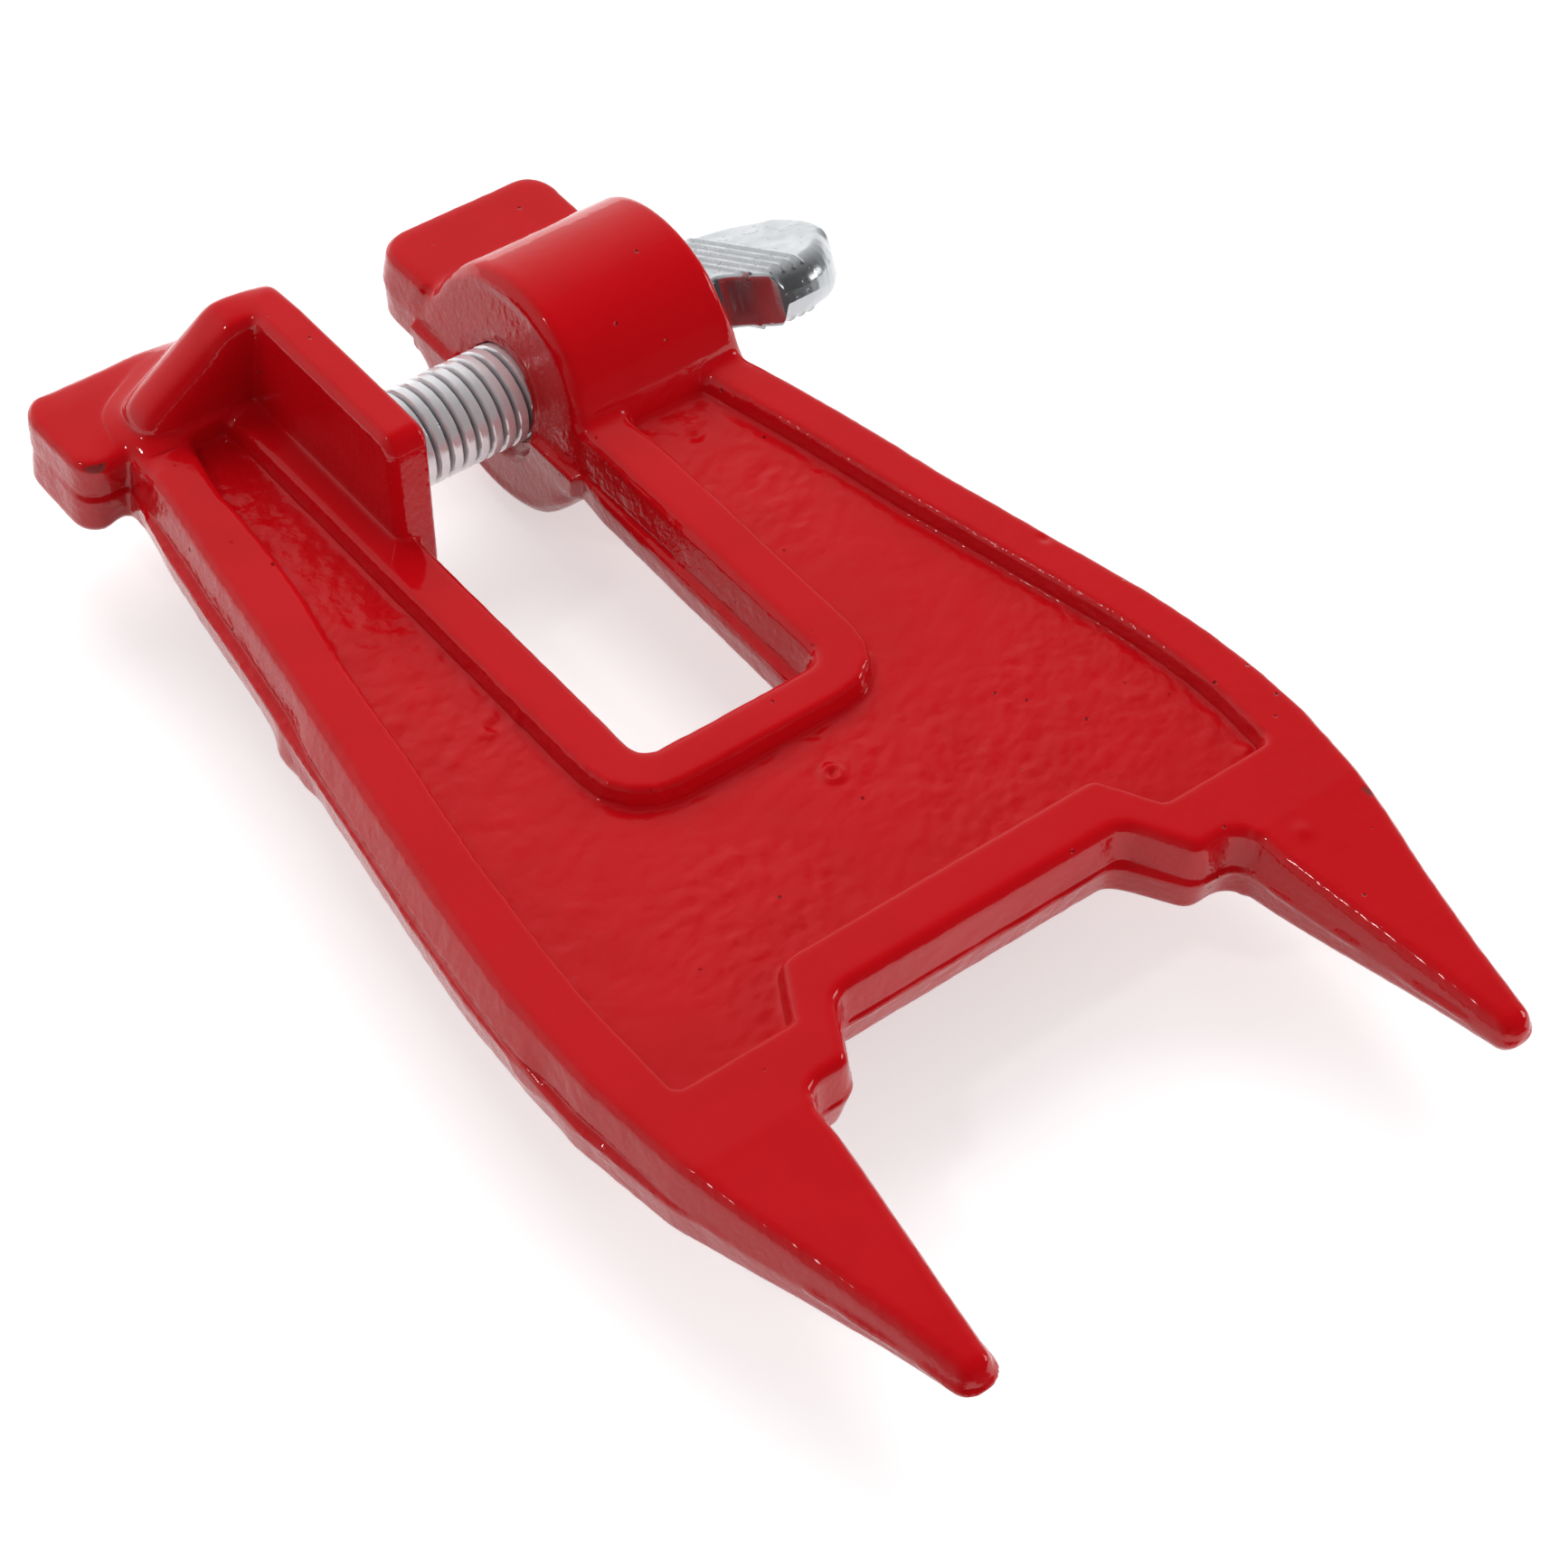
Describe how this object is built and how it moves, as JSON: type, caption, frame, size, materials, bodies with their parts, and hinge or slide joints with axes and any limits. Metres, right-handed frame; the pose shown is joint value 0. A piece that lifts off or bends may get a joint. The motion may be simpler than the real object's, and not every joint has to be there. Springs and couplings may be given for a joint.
{
  "type": "stump filing vise",
  "caption": "Drive-in stump vise that clamps a chainsaw's guide bar between its fixed jaw and a wing screw's swivel pad while the chain is filed.",
  "frame": {"origin": "under the middle of the bounding box, level with the bottom edge of the jaw plate; the casting lies flat, with its mould parting plane 18.7 mm above", "axes": "+X along the clamping screw, out through the boss to the wing; +Y along the body, from the spike tips to the striking ends of the arms; +Z the way the mould opens"},
  "size_m": [0.1087, 0.1712, 0.0374],
  "materials": {
    "red_paint": "thick gloss paint over a rough casting",
    "pad_steel": "satin",
    "zinc_thread": "bright zinc plate",
    "zinc_wing": "bright zinc plate on a casting"
  },
  "bodies": {
    "vise": {"vise_body": "red_paint"},
    "pad": {"pressure_pad": "pad_steel"},
    "wing_screw": {"clamp_screw": "zinc_thread", "wing_handle": "zinc_wing"}
  },
  "joints": [
    {"name": "screw_advance", "type": "slide", "parent": "vise", "child": "pad", "axis": [1, 0, 0], "range_m": [-0.00032, 0.0156]},
    {"name": "screw_turn", "type": "hinge", "parent": "pad", "child": "wing_screw", "pos_m": [0, 0.0589, 0.0187], "axis": [1, 0, 0], "range_deg": [-60, 2880]}
  ],
  "couplings": [
    {"joint": "screw_turn", "follows": "screw_advance", "rad_per_m": 3215.6}
  ]
}
